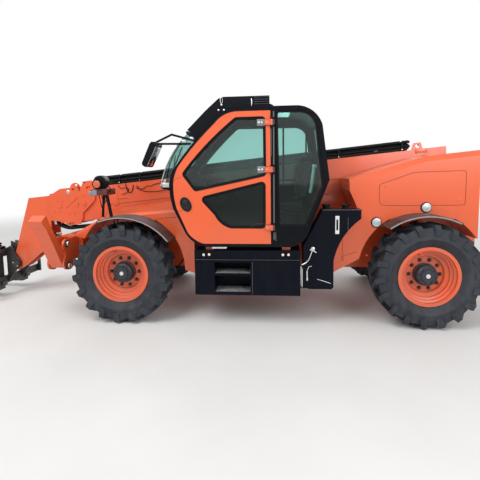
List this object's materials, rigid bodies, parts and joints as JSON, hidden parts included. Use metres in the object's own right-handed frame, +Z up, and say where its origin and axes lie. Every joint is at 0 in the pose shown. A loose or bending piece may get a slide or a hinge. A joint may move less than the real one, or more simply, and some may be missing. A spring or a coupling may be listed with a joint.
{
  "type": "telehandler",
  "caption": "Telescopic handler with a low side cab, a three-section boom along the middle, four steered lugged wheels, front stabilizers and a fork carriage.",
  "frame": {"origin": "on the ground under the middle of the machine's overall length and width", "axes": "+X towards the rear of the machine, the fork tips point along -X; the cab and its door face -Y; +Z up"},
  "size_m": [7.6156, 2.6524, 2.5656],
  "materials": {
    "orange_paint": "satin",
    "black_paint": "satin",
    "dusty_plastic": "matte",
    "tyre": "matte",
    "hub_paint": "satin",
    "glass": "clear",
    "chrome": "polished",
    "bare_steel": "worn",
    "seat_fabric": "woven",
    "lamp_lens": "gloss",
    "dark_plastic": "fine grain"
  },
  "bodies": {
    "chassis": {"axle_front": "black_paint", "axle_rear": "black_paint", "body_panels_left": "orange_paint", "body_panels_right": "orange_paint", "cab_frame": "black_paint", "cab_roof": "dark_plastic", "cab_windows": "glass", "dashboard": "dark_plastic", "engine_block": "bare_steel", "frame": "orange_paint", "front_lamps": "dark_plastic", "lamp_posts": "black_paint", "mirror": "dark_plastic", "mudguards_left": "dusty_plastic", "mudguards_right": "dusty_plastic", "oil_tank": "dark_plastic", "rear_bumper": "orange_paint", "seat": "seat_fabric", "side_lamps": "lamp_lens", "side_skirt": "black_paint", "stabilizer_frame": "orange_paint", "step_box": "black_paint", "tail_lamps": "lamp_lens"},
    "door": {"door_panel": "orange_paint", "door_glass": "glass", "door_handle": "dark_plastic"},
    "hood": {"engine_hood": "orange_paint"},
    "boom_outer": {"boom_outer": "orange_paint", "boom_pipes": "black_paint", "lifting_lug": "orange_paint"},
    "boom_mid": {"boom_mid": "orange_paint"},
    "boom_inner": {"boom_inner": "orange_paint"},
    "carriage": {"carriage": "black_paint", "forks": "bare_steel"},
    "lift_barrel": {"lift_barrel": "black_paint"},
    "lift_rod": {"lift_rod": "chrome"},
    "tilt_barrel": {"tilt_barrel": "black_paint"},
    "tilt_rod": {"tilt_rod": "chrome"},
    "leg_left": {"stabilizer_leg_left": "orange_paint"},
    "leg_right": {"stabilizer_leg_right": "orange_paint"},
    "knuckle_front_left": {"knuckle_front_left": "black_paint"},
    "wheel_front_left": {"tyre_front_left": "tyre", "rim_front_left": "orange_paint", "hub_front_left": "hub_paint"},
    "knuckle_front_right": {"knuckle_front_right": "black_paint"},
    "wheel_front_right": {"tyre_front_right": "tyre", "rim_front_right": "orange_paint", "hub_front_right": "hub_paint"},
    "knuckle_rear_left": {"knuckle_rear_left": "black_paint"},
    "wheel_rear_left": {"tyre_rear_left": "tyre", "rim_rear_left": "orange_paint", "hub_rear_left": "hub_paint"},
    "knuckle_rear_right": {"knuckle_rear_right": "black_paint"},
    "wheel_rear_right": {"tyre_rear_right": "tyre", "rim_rear_right": "orange_paint", "hub_rear_right": "hub_paint"}
  },
  "joints": [
    {"name": "steer_front_left", "type": "hinge", "parent": "chassis", "child": "knuckle_front_left", "pos_m": [-0.39724, -0.7995, 0.587], "axis": [0, 0, 1], "range_deg": [-32, 32]},
    {"name": "steer_front_right", "type": "hinge", "parent": "chassis", "child": "knuckle_front_right", "pos_m": [-0.39724, 0.7995, 0.587], "axis": [0, 0, 1], "range_deg": [-32, 32]},
    {"name": "steer_rear_left", "type": "hinge", "parent": "chassis", "child": "knuckle_rear_left", "pos_m": [3.05276, -0.7995, 0.587], "axis": [0, 0, 1], "range_deg": [-32, 32]},
    {"name": "steer_rear_right", "type": "hinge", "parent": "chassis", "child": "knuckle_rear_right", "pos_m": [3.05276, 0.7995, 0.587], "axis": [0, 0, 1], "range_deg": [-32, 32]},
    {"name": "wheel_spin_front_left", "type": "hinge", "parent": "knuckle_front_left", "child": "wheel_front_left", "pos_m": [-0.39724, -0.9775, 0.587], "axis": [0, 1, 0], "continuous": true},
    {"name": "wheel_spin_front_right", "type": "hinge", "parent": "knuckle_front_right", "child": "wheel_front_right", "pos_m": [-0.39724, 0.9775, 0.587], "axis": [0, 1, 0], "continuous": true},
    {"name": "wheel_spin_rear_left", "type": "hinge", "parent": "knuckle_rear_left", "child": "wheel_rear_left", "pos_m": [3.05276, -0.9775, 0.587], "axis": [0, 1, 0], "continuous": true},
    {"name": "wheel_spin_rear_right", "type": "hinge", "parent": "knuckle_rear_right", "child": "wheel_rear_right", "pos_m": [3.05276, 0.9775, 0.587], "axis": [0, 1, 0], "continuous": true},
    {"name": "door_swing", "type": "hinge", "parent": "chassis", "child": "door", "pos_m": [1.36076, -1.156, 1.7], "axis": [0, 0, 1], "range_deg": [0, 160]},
    {"name": "hood_lift", "type": "hinge", "parent": "chassis", "child": "hood", "pos_m": [1.24776, 0.326, 1.444], "axis": [1, 0, 0], "range_deg": [0, 60]},
    {"name": "boom_lift", "type": "hinge", "parent": "chassis", "child": "boom_outer", "pos_m": [3.40776, 0, 1.8], "axis": [0, 1, 0], "range_deg": [0, 65]},
    {"name": "lift_barrel_swing", "type": "hinge", "parent": "chassis", "child": "lift_barrel", "pos_m": [3.01776, 0, 0.84], "axis": [0, 1, 0], "range_deg": [0, 52.13]},
    {"name": "lift_rod_slide", "type": "slide", "parent": "lift_barrel", "child": "lift_rod", "axis": [-0.9447, 0, 0.328], "range_m": [0, 1.0337]},
    {"name": "boom_extend", "type": "slide", "parent": "boom_outer", "child": "boom_mid", "axis": [-0.9951, 0, -0.0993], "range_m": [0, 3.2]},
    {"name": "boom_extend_inner", "type": "slide", "parent": "boom_mid", "child": "boom_inner", "axis": [-0.9951, 0, -0.0993], "range_m": [0, 3.2]},
    {"name": "carriage_tilt", "type": "hinge", "parent": "boom_inner", "child": "carriage", "pos_m": [-2.37276, 0, 0.47031], "axis": [0, -1, 0], "range_deg": [-15, 80]},
    {"name": "tilt_barrel_swing", "type": "hinge", "parent": "boom_inner", "child": "tilt_barrel", "pos_m": [-1.84979, 0, 0.86922], "axis": [0, -1, 0], "range_deg": [-2.38, 11.82]},
    {"name": "tilt_rod_slide", "type": "slide", "parent": "tilt_barrel", "child": "tilt_rod", "axis": [-0.9569, 0, -0.2904], "range_m": [-0.0494, 0.2594]},
    {"name": "leg_swing_left", "type": "hinge", "parent": "chassis", "child": "leg_left", "pos_m": [-1.28224, -0.89, 0.628], "axis": [1, 0, 0], "range_deg": [0, 110]},
    {"name": "leg_swing_right", "type": "hinge", "parent": "chassis", "child": "leg_right", "pos_m": [-1.28224, 0.89, 0.628], "axis": [-1, 0, 0], "range_deg": [0, 110]}
  ],
  "couplings": [
    {"joint": "steer_front_right", "follows": "steer_front_left", "ratio": 1},
    {"joint": "steer_rear_right", "follows": "steer_rear_left", "ratio": 1},
    {"joint": "lift_barrel_swing", "follows": "boom_lift", "ratio": 0.79892},
    {"joint": "lift_rod_slide", "follows": "boom_lift", "m_per_rad": 0.90938},
    {"joint": "boom_extend_inner", "follows": "boom_extend", "ratio": 1},
    {"joint": "tilt_barrel_swing", "follows": "carriage_tilt", "ratio": 0.14527},
    {"joint": "tilt_rod_slide", "follows": "carriage_tilt", "m_per_rad": 0.18504}
  ]
}
